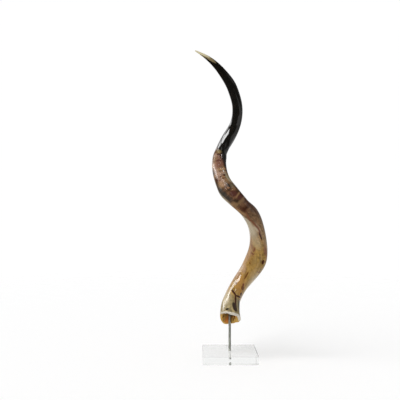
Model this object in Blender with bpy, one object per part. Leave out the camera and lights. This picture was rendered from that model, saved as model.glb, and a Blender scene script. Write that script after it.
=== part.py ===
"""A polished kudu horn standing on a steel rod in a clear acrylic block.

Metres, +Z up. The origin is the middle of the block's underside and the rod stands on the Z axis.
The front is towards -Y: the horn's open mouth faces the front and down.
"""

import math

import bmesh
import bpy
import numpy as np
from mathutils import Vector

# The block
BLOCK_SIDE = 0.180
BLOCK_HEIGHT = 0.026
BLOCK_EDGE = 0.0010         # polished bevel along every edge
BLOCK_FLOOR = 0.0050        # acrylic left under the blind bore
BORE_OVERRUN = 0.010        # how far each bore's cutter stands clear of the face it enters

# The rod
ROD_RADIUS = 0.0040
ROD_TOP = 0.200             # inside the horn, where its hollow has closed to solid
ROD_CHAMFER = 0.0006
ROD_SIDES = 32
CLEARANCE = 0.0003          # between the rod and the bores that hold it

# The spiral. The horn winds round a leaning axis, clockwise seen from above as it climbs.
# Each station: quarter turns from the leftmost point, height, reach from the axis, half width.
AXIS_FOOT = Vector((0.0618, -0.0150, 0.144))
AXIS_LEAN = Vector((-0.112, 0.030))
STATIONS = (
    (-0.30, 0.108, 0.0660, 0.0345),
    (0.00, 0.144, 0.0615, 0.0342),
    (0.28, 0.174, 0.0612, 0.0346),
    (0.50, 0.197, 0.0625, 0.0312),
    (1.01, 0.258, 0.0680, 0.0283),
    (1.50, 0.326, 0.0657, 0.0306),
    (2.00, 0.402, 0.0605, 0.0280),
    (2.50, 0.478, 0.0600, 0.0280),
    (2.78, 0.505, 0.0590, 0.0236),
    (3.00, 0.529, 0.0560, 0.0243),
    (3.27, 0.558, 0.0520, 0.0248),
    (3.50, 0.585, 0.0475, 0.0220),
    (4.00, 0.646, 0.0410, 0.0245),
    (4.22, 0.668, 0.0387, 0.0258),
    (4.50, 0.692, 0.0382, 0.0222),
    (4.97, 0.734, 0.0390, 0.0195),
    (5.50, 0.784, 0.0415, 0.0162),
    (6.00, 0.837, 0.0415, 0.0177),
    (6.50, 0.894, 0.0420, 0.0176),
    (7.02, 0.945, 0.0560, 0.0125),
    (7.35, 0.985, 0.0815, 0.0070),
    (7.55, 1.009, 0.1065, 0.0016),
)

# The cross-section: an oval drawn out into a keel, with a crease along one side of it.
# Angles are measured from the side that faces away from the spiral's axis.
KEEL_ANGLE = math.radians(-62)
KEEL_RISE = 0.16
KEEL_WIDTH = math.radians(26)
OVAL = 0.10
CREASE_ANGLE = KEEL_ANGLE - math.radians(27)
CREASE_DEPTH = 0.035
CREASE_WIDTH = math.radians(13)
ROUND_TIP = 0.36            # length below the tip over which keel and oval die away

# The mouth
MOUTH_FROM_FOOT = 0.042     # middle of the rim, along the horn from the lowest station
RIM_TILT_SIDE = 0.0125      # the rim is cut higher on the left than on the right
RIM_TILT_FRONT = -0.0030    # and a little lower at the front than at the back
TONGUE_ANGLE = math.radians(-78)
TONGUE_LENGTH = 0.009       # a ragged tongue of horn hangs lower at the back
TONGUE_WIDTH = math.radians(30)
RIM_WAVES = ((3, 0.0016, 0.6), (5, 0.0012, 2.1), (9, 0.0007, 4.0))
RIM_BLEND = 0.16            # length over which the rings straighten out above the rim
RIM_WALL = 0.0082
RIM_WALL_FRONT = 0.0022     # more at the front, and less at the back
RIM_ROUNDING = 0.0010
HOLLOW_DEPTH = 0.118
HOLLOW_END_RADIUS = 0.0050
HOLLOW_FLARE = 2.0          # how much faster the wall thickens near the mouth than deep inside

# How finely the horn is divided
HORN_SIDES = 28
OUTER_RINGS = 96
HOLLOW_RINGS = 12


def hermite(xs, ys, x):
    """A smooth curve through the points (xs, ys), read at x."""
    slopes = np.gradient(ys, xs)
    k = np.clip(np.searchsorted(xs, x) - 1, 0, len(xs) - 2)
    step = xs[k + 1] - xs[k]
    t = (x - xs[k]) / step
    return (
        (1 + 2 * t) * (1 - t) ** 2 * ys[k]
        + t * (1 - t) ** 2 * step * slopes[k]
        + t * t * (3 - 2 * t) * ys[k + 1]
        + t * t * (t - 1) * step * slopes[k + 1]
    )


class Spine:
    """The horn's middle line, read by its length in metres from the lowest station."""

    SAMPLES = 1200

    def __init__(self):
        rows = np.array(STATIONS)
        turns = np.linspace(rows[0, 0], rows[-1, 0], self.SAMPLES)
        height, reach, width = (hermite(rows[:, 0], rows[:, i], turns) for i in (1, 2, 3))
        angle = math.pi - turns * math.pi / 2
        climb = height - AXIS_FOOT.z
        x = AXIS_FOOT.x + AXIS_LEAN.x * climb + reach * np.cos(angle)
        y = AXIS_FOOT.y + AXIS_LEAN.y * climb + reach * np.sin(angle)
        self.points = np.stack([x, y, height], axis=1)
        steps = np.linalg.norm(np.diff(self.points, axis=0), axis=1)
        self.lengths = np.concatenate([[0.0], np.cumsum(steps)])
        self.length = float(self.lengths[-1])
        self.tangents = np.gradient(self.points, self.lengths, axis=0)
        self.angles = angle
        self.widths = width

    def read(self, values, along):
        if values.ndim == 1:
            return float(np.interp(along, self.lengths, values))
        return Vector([float(np.interp(along, self.lengths, column)) for column in values.T])

    def frame(self, along):
        """Middle point, outward direction and sideways direction of the section at this length."""
        tangent = self.read(self.tangents, along).normalized()
        angle = self.read(self.angles, along)
        outward = Vector((math.cos(angle), math.sin(angle), 0.0))
        outward = (outward - outward.project(tangent)).normalized()
        return self.read(self.points, along), outward, tangent.cross(outward)


def swell(angle, middle, width):
    """1 in the middle of a ridge that runs along the horn, falling to 0 on both sides."""
    offset = (angle - middle + math.pi) % (2 * math.pi) - math.pi
    return math.exp(-((offset / width) ** 2))


def section_radius(spine, along, angle):
    """How far the horn's skin is from its middle line, in the direction of this angle."""
    shaping = min(1.0, (spine.length - along) / ROUND_TIP)
    form = (
        OVAL * math.cos(2 * (angle - KEEL_ANGLE))
        + KEEL_RISE * swell(angle, KEEL_ANGLE, KEEL_WIDTH)
        - CREASE_DEPTH * swell(angle, CREASE_ANGLE, CREASE_WIDTH)
    )
    return spine.read(spine.widths, along) * (1 + shaping * form)


def rim_along(angle):
    """Where the ragged rim lies along the horn, in the direction of this angle."""
    tilt = RIM_TILT_SIDE * math.cos(angle) + RIM_TILT_FRONT * math.sin(angle)
    tongue = TONGUE_LENGTH * swell(angle, TONGUE_ANGLE, TONGUE_WIDTH)
    waves = sum(size * math.sin(count * angle + start) for count, size, start in RIM_WAVES)
    return MOUTH_FROM_FOOT + tilt - tongue + waves


def outer_point(spine, share, angle):
    """A point of the horn's skin: share is 0 at the rim and 1 at the tip."""
    run = spine.length - MOUTH_FROM_FOOT
    along = MOUTH_FROM_FOOT + share * run
    settle = max(0.0, 1 - share * run / RIM_BLEND) ** 2
    along += (rim_along(angle) - MOUTH_FROM_FOOT) * settle
    middle, outward, sideways = spine.frame(along)
    radius = section_radius(spine, along, angle)
    return middle + radius * (math.cos(angle) * outward + math.sin(angle) * sideways)


def hollow_point(spine, share, angle):
    """A point of the hollow's wall: share is 0 at the rim and 1 at the hollow's end."""
    depth = share * HOLLOW_DEPTH
    along = MOUTH_FROM_FOOT + depth + (rim_along(angle) - MOUTH_FROM_FOOT) * (1 - share)
    middle, outward, sideways = spine.frame(along)
    mouth = section_radius(spine, along, angle) - RIM_WALL - RIM_WALL_FRONT * math.sin(angle)
    taper = (1 - share) ** HOLLOW_FLARE
    radius = HOLLOW_END_RADIUS + (mouth - HOLLOW_END_RADIUS) * taper
    return middle + radius * (math.cos(angle) * outward + math.sin(angle) * sideways)


def rim_point(spine, angle):
    """The rim's outer edge, drawn in a little from the skin, so that the edge is worn round."""
    skin = outer_point(spine, 0.0, angle)
    inside = hollow_point(spine, 0.0, angle)
    return skin + (inside - skin).normalized() * RIM_ROUNDING


def material(name, colour, roughness, metallic=0.0, alpha=1.0):
    made = bpy.data.materials.new(name)
    made.use_nodes = True
    shader = made.node_tree.nodes["Principled BSDF"]
    shader.inputs["Base Color"].default_value = (*colour, 1.0)
    shader.inputs["Roughness"].default_value = roughness
    shader.inputs["Metallic"].default_value = metallic
    shader.inputs["Alpha"].default_value = alpha
    return made


def object_from(bm, name, finish):
    """Turns a bmesh into an object in the scene, with its faces pointing outwards."""
    bmesh.ops.recalc_face_normals(bm, faces=bm.faces)
    mesh = bpy.data.meshes.new(name)
    bm.to_mesh(mesh)
    bm.free()
    mesh.materials.append(finish)
    made = bpy.data.objects.new(name, mesh)
    bpy.context.scene.collection.objects.link(made)
    return made


def cylinder(name, radius, low, high, finish, chamfer=0.0):
    """An upright cylinder on the Z axis, from height low to height high."""
    bm = bmesh.new()
    bmesh.ops.create_cone(
        bm, cap_ends=True, segments=ROD_SIDES, radius1=radius, radius2=radius, depth=high - low
    )
    if chamfer:
        ends = [e for e in bm.edges if abs(e.verts[0].co.z - e.verts[1].co.z) < 1e-6]
        bmesh.ops.bevel(
            bm, geom=ends, offset=chamfer, segments=1, profile=0.5, affect="EDGES", material=-1
        )
    bmesh.ops.translate(bm, verts=bm.verts, vec=(0.0, 0.0, (low + high) / 2))
    return object_from(bm, name, finish)


def cut(target, cutter):
    """Cuts the shape of the cutter out of the target, and keeps the cutter out of sight."""
    cutter.hide_render = True
    cutter.display_type = "WIRE"
    bore = target.modifiers.new(cutter.name, "BOOLEAN")
    bore.operation = "DIFFERENCE"
    bore.solver = "EXACT"
    bore.object = cutter


def make_block(finish):
    bm = bmesh.new()
    bmesh.ops.create_cube(bm, size=1.0)
    bmesh.ops.scale(bm, verts=bm.verts, vec=(BLOCK_SIDE, BLOCK_SIDE, BLOCK_HEIGHT))
    bmesh.ops.translate(bm, verts=bm.verts, vec=(0.0, 0.0, BLOCK_HEIGHT / 2))
    bmesh.ops.bevel(
        bm, geom=bm.edges[:], offset=BLOCK_EDGE, segments=2, profile=0.5, affect="EDGES", material=-1
    )
    block = object_from(bm, "acrylic_block", finish)
    above = BLOCK_HEIGHT + BORE_OVERRUN
    cut(block, cylinder("block_bore", ROD_RADIUS + CLEARANCE, BLOCK_FLOOR, above, finish))


def make_rod(finish):
    foot = BLOCK_FLOOR + CLEARANCE
    rod = cylinder("steel_rod", ROD_RADIUS, foot, ROD_TOP, finish, ROD_CHAMFER)
    rod.data.shade_smooth()
    rod.data.set_sharp_from_angle(angle=math.radians(30))


def start_ring(bm, points):
    """Closes the given points with a fan of triangles. Returns the ring's edges."""
    index = bm.verts.layers.int.new("around")
    step = 2 * math.pi / len(points)
    made = bmesh.ops.create_circle(bm, cap_ends=True, cap_tris=True, segments=len(points), radius=1.0)
    for vert in made["verts"]:
        if vert.co.length < 0.5:
            vert.co = sum(points, Vector()) / len(points)
            continue
        vert[index] = round(math.atan2(vert.co.y, vert.co.x) / step) % len(points)
        vert.co = points[vert[index]]
    return [e for e in bm.edges if e.is_boundary]


def extrude_ring(bm, edges, points):
    """Extrudes a ring of edges and moves the new ring onto the given points. Returns its edges."""
    made = bmesh.ops.extrude_edge_only(bm, edges=edges)["geom"]
    verts = [g for g in made if isinstance(g, bmesh.types.BMVert)]
    index = bm.verts.layers.int["around"]
    for vert in verts:
        vert.co = points[vert[index]]
    fresh = set(verts)
    return [
        g for g in made if isinstance(g, bmesh.types.BMEdge) and g.verts[0] in fresh and g.verts[1] in fresh
    ]


def make_horn(finish):
    """One closed skin: from the hollow's end down to the rim, over it, and up the outside to the tip."""
    spine = Spine()
    angles = [2 * math.pi * i / HORN_SIDES for i in range(HORN_SIDES)]
    rings = [
        [hollow_point(spine, 1 - i / HOLLOW_RINGS, a) for a in angles] for i in range(HOLLOW_RINGS + 1)
    ]
    rings.append([rim_point(spine, a) for a in angles])
    first = RIM_ROUNDING / (spine.length - MOUTH_FROM_FOOT)
    rings += [
        [outer_point(spine, first + (1 - first) * i / OUTER_RINGS, a) for a in angles]
        for i in range(OUTER_RINGS)
    ]

    bm = bmesh.new()
    edges = start_ring(bm, rings[0])
    for ring in rings[1:]:
        edges = extrude_ring(bm, edges, ring)
    tip = spine.read(spine.points, spine.length)
    edges = extrude_ring(bm, edges, [tip] * HORN_SIDES)
    bmesh.ops.pointmerge(bm, verts=list({v for e in edges for v in e.verts}), merge_co=tip)
    horn = object_from(bm, "kudu_horn", finish)
    horn.data.shade_smooth()
    horn.data.set_sharp_from_angle(angle=math.radians(50))
    below = STATIONS[0][1] - BORE_OVERRUN
    cut(horn, cylinder("horn_socket", ROD_RADIUS + CLEARANCE, below, ROD_TOP + CLEARANCE, finish))


def main():
    for old in list(bpy.data.objects):
        bpy.data.objects.remove(old, do_unlink=True)
    make_block(material("clear_acrylic", (0.93, 0.95, 0.94), 0.03, alpha=0.35))
    make_rod(material("satin_steel", (0.42, 0.42, 0.38), 0.35, metallic=1.0))
    make_horn(material("polished_horn", (0.27, 0.17, 0.08), 0.12))


main()
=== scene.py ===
"""A polished kudu horn standing on a steel rod in a clear acrylic block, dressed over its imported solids.

Metres, +Z up. The front is towards -Y, and the rod stands on the Z axis.
"""

import math
from collections import namedtuple

import bmesh
import bpy
import numpy as np
from bpy.props import FloatProperty, FloatVectorProperty, IntProperty, PointerProperty
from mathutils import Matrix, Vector, noise


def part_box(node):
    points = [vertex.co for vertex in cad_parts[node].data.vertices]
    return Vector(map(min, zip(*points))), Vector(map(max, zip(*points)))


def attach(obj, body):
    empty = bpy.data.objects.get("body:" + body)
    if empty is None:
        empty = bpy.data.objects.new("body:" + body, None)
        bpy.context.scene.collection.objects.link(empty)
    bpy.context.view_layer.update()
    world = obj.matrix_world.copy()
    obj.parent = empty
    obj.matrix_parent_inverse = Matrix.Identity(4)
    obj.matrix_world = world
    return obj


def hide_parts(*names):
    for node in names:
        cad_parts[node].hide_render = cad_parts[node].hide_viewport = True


bl_info = {
    "name": "Kudu Horn on Stand",
    "version": (1, 0, 0),
    "blender": (4, 5, 0),
    "location": "3D View > Sidebar > Kudu Horn",
    "description": "Builds a polished kudu horn on its rod and clear block, and the studio round it",
    "category": "Object",
}

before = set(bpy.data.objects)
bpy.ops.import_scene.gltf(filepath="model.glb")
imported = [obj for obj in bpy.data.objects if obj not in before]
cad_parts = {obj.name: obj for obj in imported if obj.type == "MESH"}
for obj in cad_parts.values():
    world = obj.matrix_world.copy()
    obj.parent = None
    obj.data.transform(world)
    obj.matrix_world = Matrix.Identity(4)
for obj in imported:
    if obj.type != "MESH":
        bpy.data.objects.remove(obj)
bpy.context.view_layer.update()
BODY = "root"

# The stand, from its solids
BLOCK_LOW, BLOCK_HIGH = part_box("acrylic_block")
ROD_LOW, ROD_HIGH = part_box("steel_rod")
ROD_RADIUS = (ROD_HIGH.x - ROD_LOW.x) / 2
CLEARANCE = 0.0003          # between the rod and the bores that hold it
BORE_OVERRUN = 0.010        # the cutter's length above the block
BORE_SIDES = 96
BEVEL_SEGMENTS = 3

# Degrees from which an edge shows as sharp
BLOCK_CREASE = 12
HORN_CREASE = 50
PLAIN_CREASE = 30

# The spiral. The horn winds round a leaning axis, clockwise seen from above as it climbs.
# Each station: quarter turns from the leftmost point, height, reach from the axis, half width.
AXIS_FOOT = np.array((0.0618, -0.0150, 0.144))
AXIS_LEAN = np.array((-0.112, 0.030))
STATIONS = (
    (-0.30, 0.108, 0.0660, 0.0345),
    (0.00, 0.144, 0.0615, 0.0342),
    (0.28, 0.174, 0.0612, 0.0346),
    (0.50, 0.197, 0.0625, 0.0312),
    (1.01, 0.258, 0.0680, 0.0283),
    (1.50, 0.326, 0.0657, 0.0306),
    (2.00, 0.402, 0.0605, 0.0280),
    (2.50, 0.478, 0.0600, 0.0280),
    (2.78, 0.505, 0.0590, 0.0236),
    (3.00, 0.529, 0.0560, 0.0243),
    (3.27, 0.558, 0.0520, 0.0248),
    (3.50, 0.585, 0.0475, 0.0220),
    (4.00, 0.646, 0.0410, 0.0245),
    (4.22, 0.668, 0.0387, 0.0258),
    (4.50, 0.692, 0.0382, 0.0222),
    (4.97, 0.734, 0.0390, 0.0195),
    (5.50, 0.784, 0.0415, 0.0162),
    (6.00, 0.837, 0.0415, 0.0177),
    (6.50, 0.894, 0.0420, 0.0176),
    (7.02, 0.945, 0.0560, 0.0125),
    (7.35, 0.985, 0.0815, 0.0070),
    (7.55, 1.009, 0.1065, 0.0016),
)

# The cross-section: an oval drawn out into a keel with a sharp crest, and a crease beside it.
# Angles are measured from the side that faces away from the spiral's axis.
KEEL_ANGLE = math.radians(-62)
KEEL_RISE = 0.155
KEEL_WIDTH = math.radians(26)
CREST_RISE = 0.030
CREST_WIDTH = math.radians(7)
OVAL = 0.10
CREASE_ANGLE = KEEL_ANGLE - math.radians(27)
CREASE_DEPTH = 0.035
CREASE_WIDTH = math.radians(13)
ROUND_TIP = 0.36            # length below the tip over which keel and oval die away

# The mouth
MOUTH_FROM_FOOT = 0.042     # middle of the rim, along the horn from the lowest station
RIM_TILT_SIDE = 0.0125
RIM_TILT_FRONT = -0.0030
TONGUE_ANGLE = math.radians(-78)
TONGUE_LENGTH = 0.009
TONGUE_WIDTH = math.radians(30)
RIM_WAVES = ((3, 0.0016, 0.6), (5, 0.0012, 2.1), (9, 0.0007, 4.0))
RIM_BLEND = 0.16            # length over which the rings straighten out above the rim
RIM_WALL = 0.0082
RIM_WALL_FRONT = 0.0022
RIM_ROUNDING = 0.0010
RIM_EDGE = 0.0042           # how far above the rim the skin turns as pale as the cut face
RIM_PALENESS = 0.30         # how far it does, where the cut face is 0.5 and the hollow 1
SKIN_LIMIT = 0.25           # and up to here the skin's marks show, beyond it the hollow's folds
HOLLOW_DEPTH = 0.118
HOLLOW_END_RADIUS = 0.0050
HOLLOW_FLARE = 2.0
HOLLOW_RINGS = 56
RIM_RINGS = 9               # across the cut face
FACE_INSET = 0.0004         # from the skin to the edge of the cut face

# The relief. Sizes of its lumps: across the horn, along it.
SEED_SHIFT = (17.3, 5.1, 11.7)
POLISH_WAVES = (0.030, 0.055)
POLISH_DENTS = (0.014, 0.020)
RIDGE_WANDER = (0.030, 0.016)
RIDGE_WEAR = (0.022, 0.040)
WALL_FOLDS = (0.010, 0.050)
WALL_CREASES = (0.005, 0.010)
TORN_LUMPS = (0.006, 0.006)
TORN_GRAIN = (0.0025, 0.0025)
FINE_SHARE = 0.5            # the depth of dents and creases beside that of the larger lumps
TORN_SHARE = 0.6
LUMP_SHARE = 0.6
FULL_RELIEF = 0.020         # half width of the horn from which the relief is at its full depth
RIDGE_DRIFT = 0.9           # ridge pitches by which the ridges stray
RIDGE_PATCHING = 1.3        # how clearly the ridged places stand out from the worn ones
RIDGE_ZONES = ((0.60, 0.075, 1.0), (0.05, 0.12, 0.25))      # each: middle, spread, depth
FOLD_DEPTH = 0.0011
FOLD_ONSET = 0.25           # share of the hollow over which its folds set in
TORN_DEPTH = 0.0009

# The zones of colour, measured along the horn from the rim
RAMP_LENGTH = 1.100
ZONES = (
    (0.0, "olive"), (0.03, "olive"), (0.09, "honey"), (0.29, "honey"), (0.38, "tan"), (0.45, "brown"),
    (0.53, "brown"), (0.58, "tan"), (0.62, "brown"), (0.66, "black"), (1.04, "black"),
    (1.048, "dull_gold"), (1.06, "dull_gold"), (1.074, "cream"),
)
STREAK_WANDER = 0.040           # how far streaks and clouds shift the edges of the zones
CLOUD_WANDER = 0.035
BLACK_FROM = 0.645
BLACK_SLANT = 0.050
BLACK_REACH = 0.10              # half the length on which the slant acts
BLACK_LAST = math.radians(30)   # the middle of the side where the black starts last
BLACK_EDGE = 0.26               # cosine of half of that side's spread
BLACK_TURN = 6                  # how sharply that side ends
TIP_FROM = 1.04
TIP_SLANT = 0.024
TIP_REACH = 0.05
TIP_FIRST = math.radians(32)    # the middle of the side where the black ends first
TIP_EDGE = 0.75                 # cosine of half of that side's spread
TIP_TURN = 4

# The hollow's colours, by their share of its depth: its own gold and orange near the mouth, then painted
# shade that darkens it through rust to soot deeper in
HOLLOW_ZONES = ((0.00, "gold"), (0.08, "gold"), (0.18, "orange"), (0.30, "rust"), (0.42, "soot"))
HOLLOW_WANDER = 0.03

# Noise in the materials: cells to the metre across and along, detail, roughness, distortion
HORN_NOISE = {
    "streaks": (130, 11, 4, 0.6),
    "fibres": (650, 22, 3, 0.6),
    "bands": (18, 130, 2),
    "blocks": (28, 58, 1),
    "blotches": (75, 75, 4, 0.62, 0.6),
    "clouds": (26, 26, 3, 0.55),
    "mottle": (170, 90, 4, 0.65, 1.0),
    "lines": (520, 90, 4, 0.7),
}
DRAWN_LINES = (3200, 45, 2)
STEEL_WEAR = (160, 160, 4, 0.6)
WIPES = (45, 45, 5, 0.65)
FLOOR_TOOTH = (900, 900, 3)
NOISE_MIDDLE = 0.5

# Where some of it shows along the horn: from where, in full from, in full to, as far as
BANDED = (0.4, 0.47, 0.62, 0.68)
COMBED = (0.49, 0.53, 0.61, 0.65)
FURROWED = (0.53, 0.57, 0.64, 0.67)

# Smooth steps: the values between which each one runs, then what it gives at its start and at its end
CALM_FOOT = (0.02, 0.06)
CALM_TOP = (0.36, 0.44, 1.0, 0.15)
UNEVEN_TOP = (0.6, 0.66, 1.0, 0.2)
DULL_TIP = (0.94, 1.0, 0.0, 0.9)
BAND_SHADE = (0.36, 0.66, -0.42, 0.42)
BLOCK_SHADE = (0.35, 0.65, -0.3, 0.3)
BLOTCH_SHADE = (0.38, 0.6, -0.24, 0.16)
MOTTLE_SHADE = (0.4, 0.6, -0.22, 0.18)
STREAK_SHADE = (0.3, 0.72, -0.22, 0.22)
COMBED_STREAKS = (0.36, 0.62, -0.3, 0.2)
COMBED_FIBRES = (0.35, 0.65, -0.22, 0.16)
FRECKLES = (0.5, 0.66, 0.0, 0.3)
SPOTS = (0.6, 0.72, 0.0, 0.6)
MARK_NEAR = (0.02, 0.2)
MARK_EDGE = (0.2, 0.62)
FOLD_EDGE = (0.2, 0.5)
FACE_FRONT = (-0.004, 0.010)
# Painted glints: light specks on the cut face
FACE_GLINTS = (0.3, 0.6, 0.0, 0.3)
# Painted shade: the hollow counts as deeper, so darker, on the right
HOLLOW_SIDE_SHADE = (-0.018, 0.022, -0.14, 0.1)
# Painted glints: light specks on the wall of the hollow
HOLLOW_GLINTS = (0.35, 0.6, 0.0, 0.6)
FACE_EDGE = (0.05, 0.35)
HOLLOW_EDGE = (0.7, 0.95)
RAW_EDGE = (0.05, 0.5)
FURROW_EDGE = (-0.2, 0.8, 0.0, 0.5)
WEAR_EDGE = (0.35, 0.7)
WIPE_HAZE = (0.52, 0.8, 0.0, 0.03)

# How much noise changes brightness, marks, roughness and relief
FIBRE_SHADE = 0.2
PATCH_STREAKS = 0.56
MARK_BLOTCHES = 0.8
MARK_FIBRES = 0.3
MARK_MOTTLE = 0.5
FACE_SHADE = 0.85
FACE_LINES = 0.46
HOLLOW_SHADE = 0.7
HOLLOW_LINES = 0.7
FOLD_LINES = 1.0
FURROW_DRIFT = 7.0          # radians
HORN_ROUGHNESS = 0.34
FIBRE_ROUGHNESS = 0.16
RAW_ROUGHNESS = 0.3
FIBRE_BUMP = 0.06
LINE_BUMP = 2.0
BAND_BUMP = 0.25
HORN_BUMP = (0.0002, 0.5)   # depth, strength
LINE_SHADE = 0.24
STEEL_ROUGHNESS = 0.42
LINE_ROUGHNESS = 0.12
WEAR_ROUGHNESS = 0.08
STEEL_BUMP = (0.00003, 0.4)
TOOTH_SHADE = 0.02
FAINT = 1e-9                # keeps the mean of the stains defined where no mark shows

# The soft lights that the polish mirrors. Each: how far it reaches from left to right and from low to
# high, in degrees turned to the left of the front and upwards, the width of its soft edge, brightness.
PANELS = (
    (6, 50, 27, 60, 7, 18.0),
    (66, 90, 50, 61, 4, 17.0),
    (88, 124, 52, 63, 4, 11.0),
    (48, 90, 61, 67, 3, 12.0),
    (104, 116, 34, 50, 4, 10.0),
    (86, 127, 13, 23, 4, 7.5),
    (94, 152, 8, 66, 8, 1.6),
    (-50, -37, 50, 57, 3, 24.0),
    (-135, -50, -52, -12, 8, 0.55),
    (-60, -8, -62, -46, 5, 0.80),
    (-170, -122, -50, -8, 8, 0.80),
    (-160, -112, -8, 35, 8, 0.20),
    (-90, -60, 20, 42, 8, 0.35),
)
DIM_ROOM = 0.06

# The backdrop that it mirrors too: smooth steps over the degrees turned left, turned right and upwards
BEHIND_LEFT = (144, 154, 0.0, 0.80)
BEHIND_RIGHT = (160, 172, 0.0, 0.60)
BEHIND_RISE = (-30, -10)

# The floor and the key light
FLOOR_GAP = 0.0003
FLOOR_SIDES = 96
FADE_FROM = 0.45            # share of the floor's radius from which it fades out
KEY_FROM = Vector((-0.66, -0.42, 0.70))
KEY_SPREAD = math.radians(60)

# The camera: level with the horn's middle, two metres in front and a little to the left
CAMERA_PLACE = Vector((-0.0988, -2.003, 0.4936))
FOCAL_PIXELS = 602.0        # in the 400 pixel frame
FRAME_PIXELS = 400.0
SENSOR_WIDTH = 36.0
HORIZON_PIXEL = 210.0       # the row that is level with the camera


def tone(red, green, blue):
    """A colour given as it looks on a screen, 0 to 255, as the linear values that shaders take."""
    shares = (value / 255 for value in (red, green, blue))
    return tuple(s / 12.92 if s <= 0.04045 else ((s + 0.055) / 1.055) ** 2.4 for s in shares)


# Stains that the marks are painted with
STAINS = {
    "umber": tone(66, 34, 20),
    "rust": tone(104, 52, 32),
    "maroon": tone(80, 48, 40),
    "sienna": tone(116, 76, 54),
    # Also the painted shade deep in the hollow
    "soot": tone(26, 22, 18),
    "bark": tone(56, 44, 36),
    "slate": tone(54, 52, 48),
    "bone": tone(186, 174, 150),
    "cream": tone(196, 184, 156),
    "walnut": tone(106, 66, 28),
    "khaki": tone(134, 116, 78),
    "gold": tone(178, 142, 76),
    "amber": tone(174, 128, 70),
    "orange": tone(186, 116, 56),
    "moss": tone(128, 122, 96),
    "rose": tone(176, 146, 128),
    "mauve": tone(122, 86, 74),
    "tan": tone(158, 124, 88),
}

# Soft patches, in millimetres, a few of them painted highlights and sheen. Each: stain, along the horn from
# the rim, degrees round it, half length, half width, strength, and the degrees that its far end is turned to
# greater angles, if it is.
MILLIMETRE = 0.001
PATCHES = (
    ("cream", 55, 85, 30, 16, 0.5, 20),
    ("moss", 40, 150, 30, 10, 0.6),
    ("slate", 3, 86, 5, 7, 0.35),
    ("gold", 78, 122, 10, 8, 0.8),
    ("amber", 125, 168, 45, 18, 0.75),
    ("gold", 200, -150, 60, 20, 0.4),
    ("cream", 148, -110, 58, 12, 0.5, 3),
    ("sienna", 290, -148, 16, 10, 0.45, 10),
    ("sienna", 268, -162, 8, 12, 0.45, 30),
    ("sienna", 300, -164, 6, 8, 0.5),
    ("sienna", 287, -68, 18, 7, 0.8),
    ("walnut", 185, 176, 40, 4, 0.35, -4),
    ("khaki", 245, -140, 20, 8, 0.4, 20),
    ("slate", 26, 167, 36, 12, 0.8),
    ("walnut", 240, -170, 22, 14, 0.42),
    ("rose", 150, 95, 70, 14, 0.5, 15),
    ("rose", 270, 165, 80, 14, 0.5, 15),
    ("rust", 285, -62, 40, 5, 0.6),
    ("bone", 392, -100, 46, 18, 0.9),
    ("bone", 375, -135, 40, 16, 0.7),
    ("bone", 440, -78, 40, 6, 0.8),
    ("tan", 462, -62, 26, 5, 0.8, -15),
    # Painted highlight: a pale band along the left edge
    ("bone", 508, -62, 30, 6.5, 0.75, 4),
    ("slate", 528, -40, 39, 10.5, 0.88, -3),
    ("umber", 440, 42, 50, 10, 0.7, 27),
    ("moss", 560, 95, 24, 8, 0.7),
    # Partly the horn's own pale tone, partly a painted highlight on the left of the ribbed brown
    ("rose", 595, 20, 45, 10, 0.55, 5),
    ("mauve", 617, 62, 14, 16, 0.75, 10),
    ("rose", 654, 70, 8, 9, 0.6),
    ("rose", 584, 62, 8, 16, 0.45),
    ("mauve", 628, 88, 16, 14, 0.75),
    ("khaki", 667, 103, 8, 9, 0.75),
    ("umber", 453, -36, 12, 8, 0.75, 10),
    ("umber", 453, 5, 6, 24, 0.6),
    ("umber", 458, 62, 14, 13, 0.75),
    ("maroon", 503, 20, 11, 12, 0.95),
    ("maroon", 484, 34, 7, 13, 0.9),
    ("cream", 150, -88, 60, 4, 0.6, 3),
    ("tan", 550, -6, 13, 11, 0.75),
    ("tan", 473, 8, 5, 22, 0.45),
    ("tan", 479, -46, 10, 9, 0.55),
    ("cream", 322, -108, 26, 18, 0.3),
    ("bone", 419, -70, 16, 4, 0.7),
    ("bone", 380, -66, 12, 4, 0.6),
    ("umber", 405, -42, 12, 8, 0.3),
    ("rose", 192, 154, 20, 9, 0.5),
    # Painted highlight beside the lower highlight line
    ("rose", 155, 128, 22, 8, 0.5),
    ("tan", 493, 38, 3, 16, 0.6, -15),
    ("tan", 516, 52, 6, 9, 0.35),
    ("tan", 552, 62, 10, 16, 0.45),
    ("moss", 528, 72, 9, 11, 0.4),
    # Painted sheen on the right of the ribbed brown
    ("bone", 549, 88, 10, 6, 0.55),
    ("sienna", 618, 88, 9, 12, 0.55),
    ("tan", 602, 58, 5, 7, 0.6),
    ("tan", 660, 101, 4, 5, 0.5),
    # Painted sheen on the right of the ribbed brown
    ("bone", 570, 85, 18, 3.4, 0.5),
    # The next two: painted highlight along the weak highlight line in the ribbed brown
    ("rose", 557, 28, 5, 8, 0.55),
    ("rose", 544, 13, 5, 7, 0.45),
)

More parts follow.
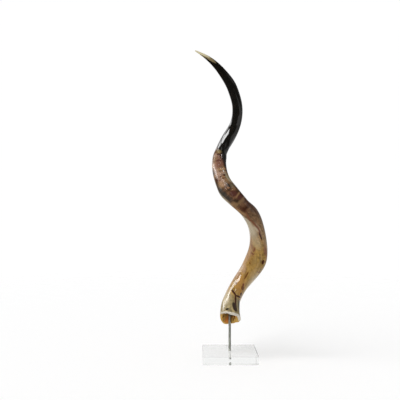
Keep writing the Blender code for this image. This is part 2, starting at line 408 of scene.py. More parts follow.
# Dull spots, where the lacquer has worn thin, given in the same way but without a stain
DULL_SPOTS = (
    (592, 52, 74, 8, 1.0, -5),
    (560, 76, 28, 9.5, 1.0),
    (560, 99, 26, 8, 1.0),
    (595, 66, 12, 6, 1.0),
    (700, 143, 11, 7, 1.0),
    (12, 90, 17, 6, 1.0),
    (634, 78, 31, 10, 1.0),
    (610, 92, 13, 9, 1.0),
    (495, 4, 12, 12, 1.0),
    (577, 82, 9, 9, 1.0),
    (634, 103, 28, 8, 1.0),
    (662, 84, 14, 16, 1.0),
    (542, 30, 26, 11, 0.72),
    (506, 42, 34, 13, 1.0),
    (517, 0, 23, 18, 1.0),
    (558, -16, 24, 17, 0.9),
    (735, 119, 40, 2.2, 0.85),
    (40, 98, 34, 6, 1.0, 28),
    (47, 58, 32, 5.5, 0.8, 28),
    (4, 70, 16, 28, 0.9),
    (138, 110, 45, 8, 0.8, 5),
    (185, 132, 10, 8, 0.6),
    (111, 144, 22, 9, 1.0, 5),
    (152, 133, 17, 4.6, 1.0, 5),
    (146, 162, 27, 7.8, 1.0),
    (225, 145, 34, 20, 0.85, 12),
)

# Marks with broken edges, given as the patches are
MARKS = (
    ("bark", 19, 119, 20, 8.2, 0.88, 3),
    ("umber", 48, 134, 26, 3.2, 1.0, 9),
    ("umber", 81, 129, 13, 5, 1.0, -40),
    ("umber", 78, 169, 18, 3.8, 1.0, 66),
    ("umber", 96, -165, 8, 6, 1.0, 30),
    ("walnut", 122, 135, 4, 4.2, 1.0),
    ("walnut", 121, -167, 9, 7.5, 1.0, 20),
    ("rust", 134, -172, 6.5, 4, 0.9),
    ("walnut", 175, -174, 19, 2.6, 1.0, 8),
    ("soot", 42, 164, 26, 4.2, 0.8, 11),
    ("soot", 11.5, 76, 4, 7.2, 0.75),
    ("walnut", 228, -173, 3.5, 3.5, 0.9),
    ("sienna", 292, -138, 13, 3, 0.8, 25),
    ("sienna", 272, -158, 4, 8, 0.75),
    ("umber", 248, -84, 10.5, 5.2, 0.78),
    ("walnut", 206, -86, 4.5, 4, 0.85),
    ("umber", 350, -65, 17, 2.8, 1.0, 5),
    ("sienna", 374, -56, 15, 2.4, 0.85, 8),
    ("sienna", 398, -57, 30, 2.6, 0.9),
    ("sienna", 430, -52, 18, 2.6, 0.85, 25),
    ("maroon", 504, 18, 9, 10, 0.85),
    ("maroon", 485, 34, 5.5, 9.5, 0.8),
    ("bark", 533, 42, 8.5, 5, 0.9),
    ("umber", 571, -15, 5, 6, 0.85, 10),
    ("umber", 574, 35, 3, 4.5, 0.65),
    ("bark", 645, 112, 5.5, 4.5, 0.6),
    ("sienna", 563, 8, 3, 3.5, 0.6),
    ("umber", 575, 75, 4.5, 5, 0.7),
    ("sienna", 611, 66, 3.5, 7, 0.5),
    ("maroon", 632, 84, 5.5, 11, 0.5),
    ("mauve", 646, 95, 2.5, 10, 0.7),
    ("umber", 655, 102, 3, 11, 0.9),
)

# Folds and specks in the wall of the hollow; the two large soot marks deep in it are painted shade
FOLDS = (
    ("gold", 24, -59, 8, 5, 0.8),
    ("gold", 10, -106, 9, 4.5, 0.9),
    ("umber", 7, -20, 9, 1.7, 1.0, 28),
    ("umber", 14, -36, 7, 1.5, 0.9, -22),
    ("walnut", 3, -44, 5, 2.2, 0.9, 30),
    ("umber", 34, -60, 8, 3, 0.7),
    ("orange", 4, -72, 24, 7, 0.8),
    ("rust", 6, -86, 18, 2, 0.8, 5),
    # The next two: painted shade deep in the hollow
    ("soot", 30, -103, 11, 12.5, 1.0),
    ("soot", 16, -146, 10, 5, 0.95, 20),
    ("umber", 4, -124, 5, 2, 0.9, -30),
    ("umber", 4, -146, 5, 2.2, 0.9, 20),
)


def colour_property(name, description, default):
    return FloatVectorProperty(
        name=name, description=description, subtype="COLOR", size=3, min=0.0, max=1.0, default=default
    )


def length_property(name, description, default):
    return FloatProperty(name=name, description=description, unit="LENGTH", precision=5, default=default)


class HornSettings(bpy.types.PropertyGroup):
    """What a user would change about the horn."""

    sides: IntProperty(name="Sides", description="Faces round the horn", default=112, min=24, max=160)
    rings: IntProperty(name="Rings", description="Rings from rim to tip", default=770, min=100, max=900)
    lump_depth: length_property("Lumps", "Height of the broad waves left by hand polishing", 0.00030)
    ridge_depth: length_property("Growth ridges", "Height of the fine ridges across the horn", 0.00006)
    ridge_pitch: length_property("Ridge pitch", "From one growth ridge to the next", 0.0052)
    cream: colour_property("Cream", "The tip", tone(204, 194, 160))
    dull_gold: colour_property("Dull gold", "Between the tip and the black", tone(130, 116, 84))
    black: colour_property("Black", "The upper half", tone(17, 16, 13))
    brown: colour_property("Brown", "The ribbed middle", tone(92, 66, 47))
    tan: colour_property("Tan", "Above and below the brown", tone(138, 110, 80))
    honey: colour_property("Honey", "The lower part", tone(158, 126, 68))
    olive: colour_property("Olive", "Just above the rim", tone(150, 134, 96))
    face: colour_property("Face", "The cut face of the wall", tone(196, 190, 176))
    orange: colour_property("Orange", "Inside the mouth", tone(188, 126, 62))


class RodSettings(bpy.types.PropertyGroup):
    """What a user would change about the rod."""

    sides: IntProperty(name="Sides", description="Faces round the rod", default=96, min=16, max=256)
    chamfer: length_property("Chamfer", "Broken edge at each end", 0.0006)
    steel: colour_property("Steel", "Colour of the metal", tone(150, 151, 142))
    worn: colour_property("Worn steel", "Cloudy patches on the metal", tone(136, 138, 130))


class BlockSettings(bpy.types.PropertyGroup):
    """What a user would change about the block."""

    edge: length_property("Edge", "Polished bevel along every edge", 0.0008)
    bore_floor: length_property("Bore floor", "Acrylic left under the blind bore", 0.0050)
    tint: colour_property("Tint", "Colour of thick acrylic", (0.60, 0.66, 0.62))
    tint_depth: FloatProperty(name="Tint depth", description="How soon the tint shows", default=0.6, min=0.0)


class StageSettings(bpy.types.PropertyGroup):
    """What a user would change about the studio."""

    floor_radius: length_property("Floor radius", "Where the floor has faded out", 3.0)
    pale: colour_property("Pale", "Floor and backdrop", (0.985, 0.985, 0.985))
    backdrop: FloatProperty(name="Backdrop", description="Brightness of the backdrop", default=1.02)
    fill: FloatProperty(name="Fill", description="Brightness of the soft fill", default=0.55)
    key: FloatProperty(name="Key light", description="Strength of the soft key light", default=2.2)
    panels: FloatProperty(name="Soft lights", description="Brightness of their mirror images", default=1.0)


class Wire:
    """An output of a shader node that takes part in Python sums: each sum adds its Math node."""

    def __init__(self, nodes, socket):
        self.nodes = nodes
        self.socket = socket

    def sum(self, operation, *values):
        return self.nodes.add("Math", {"operation": operation}, dict(enumerate(values)))

    def __add__(self, other):
        return self.sum("ADD", self, other)

    __radd__ = __add__

    def __sub__(self, other):
        return self.sum("SUBTRACT", self, other)

    def __rsub__(self, other):
        return self.sum("SUBTRACT", other, self)

    def __mul__(self, other):
        return self.sum("MULTIPLY", self, other)

    __rmul__ = __mul__

    def __truediv__(self, other):
        return self.sum("DIVIDE", self, other)

    def __pow__(self, other):
        return self.sum("POWER", self, other)

    def __neg__(self):
        return self * -1.0

    def larger(self, other):
        return self.sum("MAXIMUM", self, other)

    def smaller(self, other):
        return self.sum("MINIMUM", self, other)

    def wave(self):
        return self.sum("SINE", self)

    def swing(self, amount):
        """Noise as a value round 0, this far from its lowest to its highest."""
        return (self - NOISE_MIDDLE) * amount

    def step(self, low, high, bottom=0.0, top=1.0):
        """A smooth step from bottom, where the value is below low, to top, where it is above high."""
        settings = {"interpolation_type": "SMOOTHSTEP"}
        return self.nodes.add("MapRange", settings, {0: self, 1: low, 2: high, 3: bottom, 4: top})

    def within(self, start, full, fade, end):
        """0 outside start and end, 1 between full and fade, and smooth from one to the other."""
        return self.step(start, full) * self.step(fade, end, 1.0, 0.0)


class Nodes:
    """A shader node tree, filled node by node."""

    def __init__(self, tree):
        self.tree = tree

    def add(self, kind, settings=None, sockets=None, output=0):
        """Adds a node, sets it up, then fills its sockets with values or wires. Returns an output."""
        node = self.tree.nodes.new("ShaderNode" + kind)
        for name, value in (settings or {}).items():
            if name == "stops":
                self.set_stops(node.color_ramp, value)
            else:
                setattr(node, name, value)
        self.fill(node, sockets or {})
        return Wire(self, node.outputs[output])

    def fill(self, node, sockets):
        for name, value in sockets.items():
            socket = node.inputs[name]
            if isinstance(value, Wire):
                self.tree.links.new(value.socket, socket)
            elif socket.type == "RGBA":
                socket.default_value = (*value[:3], 1.0)
            else:
                socket.default_value = value

    def set_stops(self, ramp, stops):
        ramp.interpolation = "EASE"
        while len(ramp.elements) > 1:
            ramp.elements.remove(ramp.elements[-1])
        ramp.elements[0].position = stops[0][0]
        ramp.elements[0].color = (*stops[0][1], 1.0)
        for place, colour in stops[1:]:
            ramp.elements.new(place).color = (*colour, 1.0)

    def blend(self, factor, first, second):
        """A colour that goes from the first to the second as the factor goes from 0 to 1."""
        return self.add("Mix", {"data_type": "RGBA"}, {0: factor, 6: first, 7: second}, output=2)

    def scaled(self, vector, value):
        """A vector or a colour times one value."""
        return self.add("VectorMath", {"operation": "SCALE"}, {0: vector, "Scale": value})

    def parts(self, vector):
        """The three parts of a vector."""
        split = self.add("SeparateXYZ", sockets={0: vector}).socket.node
        return [Wire(self, output) for output in split.outputs]

    def grain(self, vector, across, along, detail, roughness=0.5, distortion=0.0):
        """Cloudy noise, about 0 to 1, with this many cells to the metre on the X and Y axes and on Z."""
        cells = {0: vector, 1: (across, across, along)}
        sockets = {
            "Vector": self.add("VectorMath", {"operation": "MULTIPLY"}, cells),
            "Scale": 1.0, "Detail": detail, "Roughness": roughness, "Distortion": distortion,
        }
        return self.add("TexNoise", sockets=sockets)


class Paint(Nodes):
    """One procedural material: a Principled surface and the nodes that feed it."""

    def __init__(self, name):
        self.material = bpy.data.materials.new(name)
        self.material.use_nodes = True
        super().__init__(self.material.node_tree)
        self.surface = self.tree.nodes["Principled BSDF"]
        self.output = self.tree.nodes["Material Output"]

    def shade(self, sockets):
        self.fill(self.surface, sockets)

    def attribute(self, name, output="Fac"):
        return self.add("Attribute", {"attribute_name": name}, output=output)

    def place(self):
        return self.add("TexCoord", output="Object")

    def bump(self, height, distance, strength):
        return self.add("Bump", sockets={"Height": height, "Distance": distance, "Strength": strength})


def hermite(xs, ys, x):
    """A smooth curve through the points (xs, ys), read at x."""
    slopes = np.gradient(ys, xs)
    k = np.clip(np.searchsorted(xs, x) - 1, 0, len(xs) - 2)
    step = xs[k + 1] - xs[k]
    t = (x - xs[k]) / step
    return (
        (1 + 2 * t) * (1 - t) ** 2 * ys[k]
        + t * (1 - t) ** 2 * step * slopes[k]
        + t * t * (3 - 2 * t) * ys[k + 1]
        + t * t * (t - 1) * step * slopes[k + 1]
    )


def bell(offset, width):
    """1 in the middle, falling smoothly to 0 on both sides."""
    return np.exp(-((offset / width) ** 2))


def turned(angle, middle):
    """How far an angle is from this middle, the shorter way round."""
    return (angle - middle + math.pi) % (2 * math.pi) - math.pi


def unit(vectors):
    return vectors / np.linalg.norm(vectors, axis=-1, keepdims=True)


class Spine:
    """The horn's middle line, read by its length in metres from the lowest station."""

    SAMPLES = 1200

    def __init__(self):
        rows = np.array(STATIONS)
        turns = np.linspace(rows[0, 0], rows[-1, 0], self.SAMPLES)
        height, reach, self.widths = (hermite(rows[:, 0], rows[:, i], turns) for i in (1, 2, 3))
        self.angles = math.pi - turns * math.pi / 2
        climb = height - AXIS_FOOT[2]
        x = AXIS_FOOT[0] + AXIS_LEAN[0] * climb + reach * np.cos(self.angles)
        y = AXIS_FOOT[1] + AXIS_LEAN[1] * climb + reach * np.sin(self.angles)
        self.points = np.stack([x, y, height], axis=1)
        steps = np.linalg.norm(np.diff(self.points, axis=0), axis=1)
        self.lengths = np.concatenate([[0.0], np.cumsum(steps)])
        self.length = self.lengths[-1]
        self.tangents = np.gradient(self.points, self.lengths, axis=0)

    def read(self, values, along):
        if values.ndim == 1:
            return np.interp(along, self.lengths, values)
        return np.stack([np.interp(along, self.lengths, column) for column in values.T], axis=-1)

    def place(self, along, angle, radius):
        """Points at these distances from the middle line, in the directions of these angles."""
        tangent = unit(self.read(self.tangents, along))
        turn = self.read(self.angles, along)
        outward = np.stack([np.cos(turn), np.sin(turn), np.zeros_like(turn)], axis=-1)
        outward = unit(outward - tangent * (outward * tangent).sum(-1, keepdims=True))
        sideways = np.cross(tangent, outward)
        reach = np.cos(angle)[..., None] * outward + np.sin(angle)[..., None] * sideways
        return self.read(self.points, along) + radius[..., None] * reach

    def section_radius(self, along, angle):
        """How far the horn's skin is from its middle line, in the direction of this angle."""
        shaping = np.clip((self.length - along) / ROUND_TIP, 0.0, 1.0)
        form = (
            OVAL * np.cos(2 * (angle - KEEL_ANGLE))
            + KEEL_RISE * bell(turned(angle, KEEL_ANGLE), KEEL_WIDTH)
            + CREST_RISE * bell(turned(angle, KEEL_ANGLE), CREST_WIDTH)
            - CREASE_DEPTH * bell(turned(angle, CREASE_ANGLE), CREASE_WIDTH)
        )
        return self.read(self.widths, along) * (1 + shaping * form)


def rim_along(angle):
    """Where the ragged rim lies along the horn, in the direction of this angle."""
    tilt = RIM_TILT_SIDE * np.cos(angle) + RIM_TILT_FRONT * np.sin(angle)
    tongue = TONGUE_LENGTH * bell(turned(angle, TONGUE_ANGLE), TONGUE_WIDTH)
    waves = sum(size * np.sin(count * angle + start) for count, size, start in RIM_WAVES)
    return MOUTH_FROM_FOOT + tilt - tongue + waves


def lumps(points, size, seed):
    """Smooth noise between -1 and 1 at each point, with lumps of this size across and along the horn."""
    across, along = size
    shift = Vector([seed * part for part in SEED_SHIFT])
    flat = (points / (across, across, along)).reshape(-1, 3)
    values = [noise.noise(Vector(point) + shift) for point in flat]
    return np.array(values).reshape(points.shape[:-1])


Rings = namedtuple("Rings", "points straight radius inside")


class Skin:
    """The horn's rings of points, from the hollow's end over the rim to the tip."""

    def __init__(self, settings):
        self.settings = settings
        self.spine = Spine()
        self.angles = np.arange(settings.sides) * 2 * math.pi / settings.sides
        self.rim = rim_along(self.angles)
        hollow = self.hollow_rings()
        outside = self.outer_rings()
        face = self.face_rings(hollow.radius[-1], outside.radius[0] - FACE_INSET)
        self.points, self.straight, self.radius, self.inside = map(np.concatenate, zip(hollow, face, outside))

    def straightened(self, along, radius):
        """Each point's place on the horn, had the horn been straight."""
        across = [radius * np.cos(self.angles), radius * np.sin(self.angles)]
        return np.stack([*across, along - MOUTH_FROM_FOOT], axis=-1)

    def rings(self, along, radius, inside):
        points = self.spine.place(along, self.angles, radius)
        straight = self.straightened(along, radius)
        return Rings(points, straight, radius, np.broadcast_to(inside, along.shape))

    def outer_rings(self):
        run = self.spine.length - MOUTH_FROM_FOOT
        first = RIM_ROUNDING / run
        shares = first + (1 - first) * np.arange(self.settings.rings)[:, None] / self.settings.rings
        settle = np.clip(1 - shares * run / RIM_BLEND, 0.0, 1.0) ** 2
        along = MOUTH_FROM_FOOT + shares * run + (self.rim - MOUTH_FROM_FOOT) * settle
        radius = self.spine.section_radius(along, self.angles)
        radius = radius + self.relief(self.straightened(along, radius), radius)
        return self.rings(along, radius, RIM_PALENESS * bell(along - self.rim, RIM_EDGE))

    def relief(self, straight, radius):
        """Broad waves and fine growth ridges, which sink the skin a little."""
        slim = np.clip(radius / FULL_RELIEF, 0.0, 1.0)
        broad = lumps(straight, POLISH_WAVES, 1) + FINE_SHARE * lumps(straight, POLISH_DENTS, 2)
        wander = lumps(straight, RIDGE_WANDER, 3)
        height = straight[..., 2]
        wave = np.sin(2 * math.pi * (height / self.settings.ridge_pitch + RIDGE_DRIFT * wander))
        worn = np.clip(0.5 + RIDGE_PATCHING * lumps(straight, RIDGE_WEAR, 4), 0.0, 1.0)
        zone = sum(share * bell(height - middle, spread) for middle, spread, share in RIDGE_ZONES)
        return slim * (
            self.settings.lump_depth * LUMP_SHARE * (broad - 1)
            + self.settings.ridge_depth * worn * zone * (wave - 1)
        )

    def hollow_rings(self):
        shares = np.arange(HOLLOW_RINGS)[:, None] / HOLLOW_RINGS
        along = MOUTH_FROM_FOOT + (1 - shares) * HOLLOW_DEPTH + (self.rim - MOUTH_FROM_FOOT) * shares
        wall = RIM_WALL + RIM_WALL_FRONT * np.sin(self.angles)
        mouth = self.spine.section_radius(along, self.angles) - wall
        radius = HOLLOW_END_RADIUS + (mouth - HOLLOW_END_RADIUS) * shares ** HOLLOW_FLARE
        straight = self.straightened(along, radius)
        folds = lumps(straight, WALL_FOLDS, 5) + FINE_SHARE * lumps(straight, WALL_CREASES, 6)
        radius = radius + FOLD_DEPTH * folds * np.clip(shares / FOLD_ONSET, 0.0, 1.0)
        return self.rings(along, radius, 1.0)

    def face_rings(self, inner, outer):
        """The cut face between the hollow's edge and the skin, torn into low ridges."""
        shares = (np.arange(RIM_RINGS)[:, None] + 0.5) / RIM_RINGS
        radius = inner + (outer - inner) * shares
        along = np.broadcast_to(self.rim, radius.shape)
        straight = self.straightened(along, radius)
        torn = lumps(straight, TORN_LUMPS, 7) + TORN_SHARE * lumps(straight, TORN_GRAIN, 8)
        bulge = 1 - (2 * shares - 1) ** 2
        return self.rings(along + TORN_DEPTH * torn * bulge ** 0.5, radius, 0.5)

    def bent_height(self):
        """Height along the horn, bent to follow the slanting edges of the black and of the tip."""
        height = self.straight[..., 2]
        late = np.tanh(BLACK_TURN * (np.cos(self.angles - BLACK_LAST) - BLACK_EDGE))
        early = np.tanh(TIP_TURN * (np.cos(self.angles - TIP_FIRST) - TIP_EDGE))
        black = BLACK_SLANT * bell(height - BLACK_FROM, BLACK_REACH) * late
        return height - black + TIP_SLANT * bell(height - TIP_FROM, TIP_REACH) * early

    def mark_shape(self, outside, along, degrees, half_length, half_width, strength, tilt=0):
        """How strongly a mark shows at each point outside, or of the wall inside the mouth."""
        across = turned(self.angles, math.radians(degrees)) * self.radius / MILLIMETRE
        forth = self.straight[..., 2] / MILLIMETRE - along
        lean = math.radians(tilt)
        u = (forth * math.cos(lean) + across * math.sin(lean)) / half_length
        v = (across * math.cos(lean) - forth * math.sin(lean)) / half_width
        shape = strength * np.exp(-((u * u + v * v) ** 2))
        return np.where((self.inside < SKIN_LIMIT) == outside, shape, 0.0)


def mixed_stains(shapes, stains):
    """The colour where marks overlap: each stain counts by how strongly its mark shows."""
    total = sum(shapes, FAINT)
    colour = sum(shape[..., None] * np.array(stain) for shape, stain in zip(shapes, stains))
    colour = colour / total[..., None]
    return np.concatenate([colour, np.ones_like(colour[..., :1])], axis=-1)


def overlaid(shapes):
    """The share that marks cover together: each hides its own share of what is still bare."""
    share = 0.0
    for shape in shapes:
        share = share + shape - share * shape
    return share


def rolled_sheet(points):
    """A grid rolled up so that its rows become the given rings, closed at the seam and at both ends.

    The first and the last ring each shrink to a single point. The layer "place" keeps each point's
    number, counted ring by ring.
    """
    rings, sides = points.shape[:2]
    bm = bmesh.new()
    bmesh.ops.create_grid(bm, x_segments=sides, y_segments=rings - 1, size=1.0)
    place = bm.verts.layers.int.new("place")
    kept = {}
    doubles = {}
    for vert in bm.verts:
        ring = round((vert.co.y + 1) / 2 * (rings - 1))
        side = round((vert.co.x + 1) / 2 * sides) % sides
        if ring in (0, rings - 1):
            side = 0
        vert[place] = ring * sides + side
        vert.co = points[ring, side]
        if vert[place] in kept:
            doubles[vert] = kept[vert[place]]
        else:
            kept[vert[place]] = vert
    bmesh.ops.weld_verts(bm, targetmap=doubles)
    return bm


def cylinder(radius, low, high, sides):
    """A closed cylinder that stands on the Z axis."""
    bm = bmesh.new()
    bmesh.ops.create_cone(
        bm, cap_ends=True, segments=sides, radius1=radius, radius2=radius, depth=high - low
    )
    bmesh.ops.translate(bm, verts=bm.verts, vec=(0.0, 0.0, (low + high) / 2))
    return bm


def soften(bm, edges, width):
    """Breaks these edges with a small rounded bevel."""
    bmesh.ops.bevel(
        bm, geom=edges, offset=width, affect="EDGES", segments=BEVEL_SEGMENTS, profile=0.5, material=-1
    )


def object_from(bm, name, material, crease_angle):
    """Turns a bmesh into an object in the scene, smooth but for edges sharper than the crease angle."""
    bmesh.ops.recalc_face_normals(bm, faces=bm.faces)
    mesh = bpy.data.meshes.new(name)
    bm.to_mesh(mesh)
    bm.free()
    mesh.materials.append(material)
    made = bpy.data.objects.new(name, mesh)
    bpy.context.scene.collection.objects.link(made)
    smooth(mesh, crease_angle)
    return made


def smooth(mesh, crease_angle):
    mesh.shade_smooth()
    mesh.set_sharp_from_angle(angle=math.radians(crease_angle))


ATTRIBUTE_KINDS = {1: ("FLOAT", "value"), 3: ("FLOAT_VECTOR", "vector"), 4: ("FLOAT_COLOR", "color")}


def add_attribute(mesh, name, values):
    """Stores a value, a place or a colour for each point of the mesh, for its material to read."""
    place = np.empty(len(mesh.vertices), dtype=np.int32)
    mesh.attributes["place"].data.foreach_get("value", place)
    flat = values.reshape(values.shape[0] * values.shape[1], -1)[place]
    kind, field = ATTRIBUTE_KINDS[flat.shape[1]]
    layer = mesh.attributes.new(name, kind, "POINT")
    layer.data.foreach_set(field, flat.astype(np.float32).ravel())


def finish_piece(piece, node):
    """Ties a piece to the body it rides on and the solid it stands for."""
    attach(piece, BODY)
    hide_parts(node)


class HornPaint(Paint):
    """Lacquered horn: cream tip, black above, ribbed brown in the middle, honey and olive below."""

    def __init__(self, settings):
        super().__init__("polished_horn")
        self.settings = settings
        self.straight = self.attribute("straight", "Vector")
        self.x, self.y, self.height = self.parts(self.straight)
        self.inside = self.attribute("inside")
        for name, noise_settings in HORN_NOISE.items():
            setattr(self, name, self.grain(self.straight, *noise_settings))
        self.banded = self.height.within(*BANDED)
        self.lacquer()

    def colour(self, name):
        """The user's colour of this name, or else the stain."""
        return getattr(self.settings, name, STAINS.get(name))

    def ramp(self, zones, value):
        """Goes from the colour of one zone to the next as the value grows."""
        stops = [(place, self.colour(name)) for place, name in zones]
        return self.add("ValToRGB", {"stops": stops}, {0: value})

    def skin(self):
        """The zones from the rim to the tip, their grain, then soft patches, a few of them painted highlights
        and sheen, and marks with broken edges.
        """
        place = self.attribute("zone") + self.streaks.swing(STREAK_WANDER) + self.clouds.swing(CLOUD_WANDER)
        skin = self.ramp([(along / RAMP_LENGTH, name) for along, name in ZONES], place / RAMP_LENGTH)
        calm = self.height.step(*CALM_TOP) * self.height.step(*CALM_FOOT)
        combed = self.height.within(*COMBED)
        uneven = self.blotches.step(*BLOTCH_SHADE) + self.mottle.step(*MOTTLE_SHADE)
        shade = 1.0 + self.banded * (self.bands.step(*BAND_SHADE) + self.blocks.step(*BLOCK_SHADE))
        shade = shade * (1.0 + uneven * self.height.step(*UNEVEN_TOP))
        shade = shade * (1.0 + calm * self.streaks.step(*STREAK_SHADE))
        shade = shade * (1.0 + self.fibres.swing(FIBRE_SHADE))
        skin = self.scaled(skin, shade * (1.0 + combed * self.streaks.step(*COMBED_STREAKS)))
        skin = self.blend(self.mottle.step(*FRECKLES) * calm, skin, STAINS["sienna"])
        skin = self.blend(self.blotches.step(*SPOTS) * calm, skin, STAINS["maroon"])
        patch = self.attribute("patch_share") * (1.0 + self.streaks.swing(PATCH_STREAKS))
        skin = self.blend(patch.smaller(1.0), skin, self.attribute("patch", "Color"))
        skin = self.scaled(skin, 1.0 + combed * self.fibres.step(*COMBED_FIBRES))
        mark = self.attribute("mark_share")
        broken = self.blotches.swing(MARK_BLOTCHES) + self.fibres.swing(MARK_FIBRES)
        broken = (broken + self.mottle.swing(MARK_MOTTLE)) * mark.step(*MARK_NEAR)
        return self.blend((mark + broken).step(*MARK_EDGE), skin, self.attribute("mark", "Color"))

    def face(self):
        """The cut face, pale in front and golden behind, with painted glints as light specks."""
        face = self.blend(self.y.step(*FACE_FRONT), STAINS["gold"], self.colour("face"))
        return self.scaled(face, FACE_SHADE + self.lines.swing(FACE_LINES) + self.mottle.step(*FACE_GLINTS))

    def hollow(self):
        """The wall inside the mouth, with folds, painted shade that makes it darker deeper in and on the
        right, and painted glints.
        """
        wander = self.streaks.swing(HOLLOW_WANDER) + self.blotches.swing(HOLLOW_WANDER)
        # Painted shade: the wall darkens deeper in and on the right
        depth = (self.height + wander) / HOLLOW_DEPTH + (-self.x).step(*HOLLOW_SIDE_SHADE)
        shade = HOLLOW_SHADE + self.lines.swing(HOLLOW_LINES) + self.mottle.step(*HOLLOW_GLINTS)
        wall = self.scaled(self.ramp(HOLLOW_ZONES, depth), shade)
        fold = self.attribute("fold_share") * (1.0 + self.lines.swing(FOLD_LINES))
        return self.blend(fold.step(*FOLD_EDGE), wall, self.attribute("fold", "Color"))

    def lacquer(self):
        """Puts it together under lacquer: none on the cut face, thin on dull spots and in furrows."""
        raw = self.inside.step(*RAW_EDGE)
        ripples = self.height * (2 * math.pi / self.settings.ridge_pitch) + self.clouds * FURROW_DRIFT
        furrows = ripples.wave().step(*FURROW_EDGE) * self.height.within(*FURROWED)
        dull = self.attribute("dull_share") + furrows + self.height.step(*DULL_TIP)
        colour = self.blend(self.inside.step(*FACE_EDGE), self.skin(), self.face())
        relief = self.fibres * FIBRE_BUMP + self.lines * raw * LINE_BUMP
        relief = relief + self.bands * self.banded * BAND_BUMP
        self.shade({
            "Base Color": self.blend(self.inside.step(*HOLLOW_EDGE), colour, self.hollow()),
            "Roughness": HORN_ROUGHNESS + self.fibres.swing(FIBRE_ROUGHNESS) + raw * RAW_ROUGHNESS,
            "Specular IOR Level": 0.0,
            "Coat Weight": (1.0 - raw) * (1.0 - dull.smaller(1.0)),
            "Coat Roughness": 0.03,
            "Coat IOR": 1.5,
            "Normal": self.bump(relief, *HORN_BUMP),
        })


def steel_material(settings):
    """Satin drawn steel: fine lines along the rod, and faint cloudy wear."""
    paint = Paint("satin_steel")
    place = paint.place()
    lines = paint.grain(place, *DRAWN_LINES)
    wear = paint.grain(place, *STEEL_WEAR)
    colour = paint.blend(wear.step(*WEAR_EDGE), settings.steel, settings.worn)
    paint.shade({
        "Base Color": paint.scaled(colour, 1.0 + lines.swing(LINE_SHADE)),
        "Metallic": 0.80,
        "Roughness": STEEL_ROUGHNESS + lines * LINE_ROUGHNESS + wear * WEAR_ROUGHNESS,
        "Normal": paint.bump(lines, *STEEL_BUMP),
    })
    return paint.material


def acrylic_material(settings):
    """Clear cast acrylic: plain transmission, faint wipe marks and a little tint in its depth."""
    paint = Paint("clear_acrylic")
    paint.shade({
        "Base Color": (0.97, 0.97, 0.965),
        "Transmission Weight": 1.0,
        "IOR": 1.49,
        "Roughness": paint.grain(paint.place(), *WIPES).step(*WIPE_HAZE),
    })
    depth = paint.add("VolumeAbsorption", {}, {"Color": settings.tint, "Density": settings.tint_depth})
    paint.tree.links.new(depth.socket, paint.output.inputs["Volume"])
    return paint.material


def floor_material(settings):
    """A matt pale floor that fades out far from the stand."""
    paint = Paint("pale_floor")
    place = paint.place()
    x, y, _ = paint.parts(place)
    distance = (x * x + y * y) ** 0.5
    radius = settings.floor_radius
    tooth = paint.grain(place, *FLOOR_TOOTH)
    paint.shade({
        "Base Color": paint.scaled(settings.pale, 1.0 + tooth.swing(TOOTH_SHADE)),
        "Roughness": 0.9,
        "Specular IOR Level": 0.0,
        "Alpha": distance.step(radius * FADE_FROM, radius, 1.0, 0.0),
    })
    return paint.material


def studio_pattern(nodes, settings):
    """What the polish mirrors: soft lights at the left, a pale backdrop, a dim room."""
    x, y, z = nodes.parts(nodes.add("TexCoord"))
    turn = nodes.add("Math", {"operation": "ARCTAN2"}, {0: -x, 1: -y}) * (180 / math.pi)
    rise = nodes.add("Math", {"operation": "ARCSINE"}, {0: z}) * (180 / math.pi)
    light = 0.0
    for left, right, low, high, edge, bright in PANELS:
        across = turn.within(left - edge, left, right, right + edge)
        panel = across * rise.within(low - edge, low, high, high + edge)
        light = (panel * bright).larger(light)
    behind = turn.step(*BEHIND_LEFT) + (-turn).step(*BEHIND_RIGHT)
    return DIM_ROOM + light * settings.panels + behind * rise.step(*BEHIND_RISE)


def build_world(settings):
    """A pale backdrop for the eye, a plain soft fill for the matt parts, and a studio for the polish."""
    world = bpy.data.worlds.new("studio")
    bpy.context.scene.world = world
    world.use_nodes = True
    nodes = Nodes(world.node_tree)
    direct, through, mirrored = (
        nodes.add("LightPath", output=f"Is {kind} Ray") for kind in ("Camera", "Transmission", "Glossy")
    )
    pattern = studio_pattern(nodes, settings)
    light = nodes.add("Mix", {"data_type": "FLOAT"}, {0: mirrored, 2: settings.fill, 3: pattern})
    seen = direct.larger(through)
    strength = nodes.add("Mix", {"data_type": "FLOAT"}, {0: seen, 2: light, 3: settings.backdrop})
    nodes.fill(nodes.tree.nodes["Background"], {"Color": settings.pale, "Strength": strength})


def build_floor(settings):
    bm = bmesh.new()
    bmesh.ops.create_circle(bm, cap_ends=True, segments=FLOOR_SIDES, radius=settings.floor_radius)
    bmesh.ops.translate(bm, verts=bm.verts, vec=(0.0, 0.0, -FLOOR_GAP))
    floor = object_from(bm, "pale_floor", floor_material(settings), PLAIN_CREASE)
    floor.visible_glossy = False


def build_key(settings):
    """A wide soft light from the upper left. It lights the matt parts; the polish mirrors the studio."""
    data = bpy.data.lights.new("key", "SUN")
    data.angle = KEY_SPREAD
    data.energy = settings.key
    light = bpy.data.objects.new("key", data)
    light.rotation_euler = KEY_FROM.to_track_quat("Z", "Y").to_euler()
    light.visible_glossy = False
    bpy.context.scene.collection.objects.link(light)


def build_camera():
    data = bpy.data.cameras.new("camera")
    data.sensor_width = SENSOR_WIDTH
    data.lens = SENSOR_WIDTH * FOCAL_PIXELS / FRAME_PIXELS
    data.shift_y = (HORIZON_PIXEL - FRAME_PIXELS / 2) / FRAME_PIXELS
    camera = bpy.data.objects.new("camera", data)
    camera.location = CAMERA_PLACE
    camera.rotation_euler = (math.radians(90), 0.0, 0.0)
    bpy.context.scene.collection.objects.link(camera)
    bpy.context.scene.camera = camera


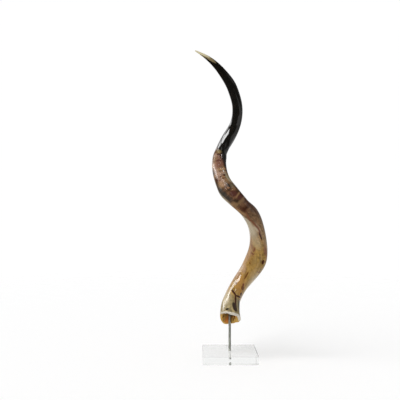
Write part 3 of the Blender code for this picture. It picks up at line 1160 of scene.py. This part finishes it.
class KUDU_OT_stage(bpy.types.Operator):
    """Builds the pale floor, the studio light and the camera"""

    bl_idname = "kudu.build_stage"
    bl_label = "Stage"

    def execute(self, context):
        settings = context.scene.kudu_stage
        context.scene.view_settings.view_transform = "Standard"
        build_floor(settings)
        build_world(settings)
        build_key(settings)
        build_camera()
        return {"FINISHED"}


class KUDU_OT_horn(bpy.types.Operator):
    """Builds the horn"""

    bl_idname = "kudu.build_horn"
    bl_label = "Horn"

    def execute(self, context):
        settings = context.scene.kudu_horn
        skin = Skin(settings)
        material = HornPaint(settings).material
        horn = object_from(rolled_sheet(skin.points), "polished_horn", material, HORN_CREASE)
        add_attribute(horn.data, "straight", skin.straight)
        add_attribute(horn.data, "inside", skin.inside)
        add_attribute(horn.data, "zone", skin.bent_height())
        for name, marks, outside in (("patch", PATCHES, True), ("mark", MARKS, True), ("fold", FOLDS, False)):
            shapes = [skin.mark_shape(outside, *place) for _, *place in marks]
            stains = [STAINS[stain] for stain, *_ in marks]
            add_attribute(horn.data, name, mixed_stains(shapes, stains))
            add_attribute(horn.data, name + "_share", overlaid(shapes))
        dull = [skin.mark_shape(True, *place) for place in DULL_SPOTS]
        add_attribute(horn.data, "dull_share", overlaid(dull))
        horn.data.attributes.remove(horn.data.attributes["place"])
        finish_piece(horn, "kudu_horn")
        return {"FINISHED"}


class KUDU_OT_rod(bpy.types.Operator):
    """Builds the steel rod that holds the horn"""

    bl_idname = "kudu.build_rod"
    bl_label = "Rod"

    def execute(self, context):
        settings = context.scene.kudu_rod
        bm = cylinder(ROD_RADIUS, ROD_LOW.z, ROD_HIGH.z, settings.sides)
        rims = [edge for edge in bm.edges if edge.calc_length() < ROD_RADIUS]
        soften(bm, rims, settings.chamfer)
        rod = object_from(bm, "steel_rod_bar", steel_material(settings), PLAIN_CREASE)
        finish_piece(rod, "steel_rod")
        return {"FINISHED"}


class KUDU_OT_block(bpy.types.Operator):
    """Builds the clear block with the blind bore that holds the rod"""

    bl_idname = "kudu.build_block"
    bl_label = "Block"

    def execute(self, context):
        settings = context.scene.kudu_block
        bm = bmesh.new()
        bmesh.ops.create_cube(bm, size=1.0)
        bmesh.ops.scale(bm, verts=bm.verts, vec=BLOCK_HIGH - BLOCK_LOW)
        bmesh.ops.translate(bm, verts=bm.verts, vec=(BLOCK_HIGH + BLOCK_LOW) / 2)
        soften(bm, list(bm.edges), settings.edge)
        block = object_from(bm, "clear_block", acrylic_material(settings), BLOCK_CREASE)
        bore = cylinder(
            ROD_RADIUS + CLEARANCE, BLOCK_LOW.z + settings.bore_floor, BLOCK_HIGH.z + BORE_OVERRUN, BORE_SIDES
        )
        cutter = object_from(bore, "bore_cutter", block.data.materials[0], PLAIN_CREASE)
        cut = block.modifiers.new("bore", "BOOLEAN")
        cut.object = cutter
        cut.operation = "DIFFERENCE"
        cut.solver = "EXACT"
        done = bpy.data.meshes.new_from_object(block.evaluated_get(context.evaluated_depsgraph_get()))
        smooth(done, BLOCK_CREASE)
        block.modifiers.clear()
        block.data = done
        bpy.data.objects.remove(cutter)
        block.visible_shadow = False
        block.visible_diffuse = False
        finish_piece(block, "acrylic_block")
        return {"FINISHED"}


class KUDU_PT_build(bpy.types.Panel):
    """Lists the pieces of the horn and its stand"""

    bl_idname = "KUDU_PT_build"
    bl_label = "Kudu Horn"
    bl_space_type = "VIEW_3D"
    bl_region_type = "UI"
    bl_category = "Kudu Horn"

    def draw(self, context):
        for group, _, operator in GROUPS:
            settings = getattr(context.scene, group)
            box = self.layout.box()
            box.operator(operator.bl_idname)
            for name in settings.bl_rna.properties.keys():
                if name not in ("rna_type", "name"):
                    box.prop(settings, name)


GROUPS = (
    ("kudu_stage", StageSettings, KUDU_OT_stage),
    ("kudu_horn", HornSettings, KUDU_OT_horn),
    ("kudu_rod", RodSettings, KUDU_OT_rod),
    ("kudu_block", BlockSettings, KUDU_OT_block),
)
CLASSES = [kind for group in GROUPS for kind in group[1:]] + [KUDU_PT_build]


def register():
    for item in CLASSES:
        bpy.utils.register_class(item)
    for group, settings, _ in GROUPS:
        setattr(bpy.types.Scene, group, PointerProperty(type=settings))


def unregister():
    for group, _, _ in GROUPS:
        delattr(bpy.types.Scene, group)
    for item in reversed(CLASSES):
        bpy.utils.unregister_class(item)


def main():
    register()
    bpy.ops.kudu.build_stage()
    bpy.ops.kudu.build_block()
    bpy.ops.kudu.build_rod()
    bpy.ops.kudu.build_horn()


if __name__ == "__main__":
    main()
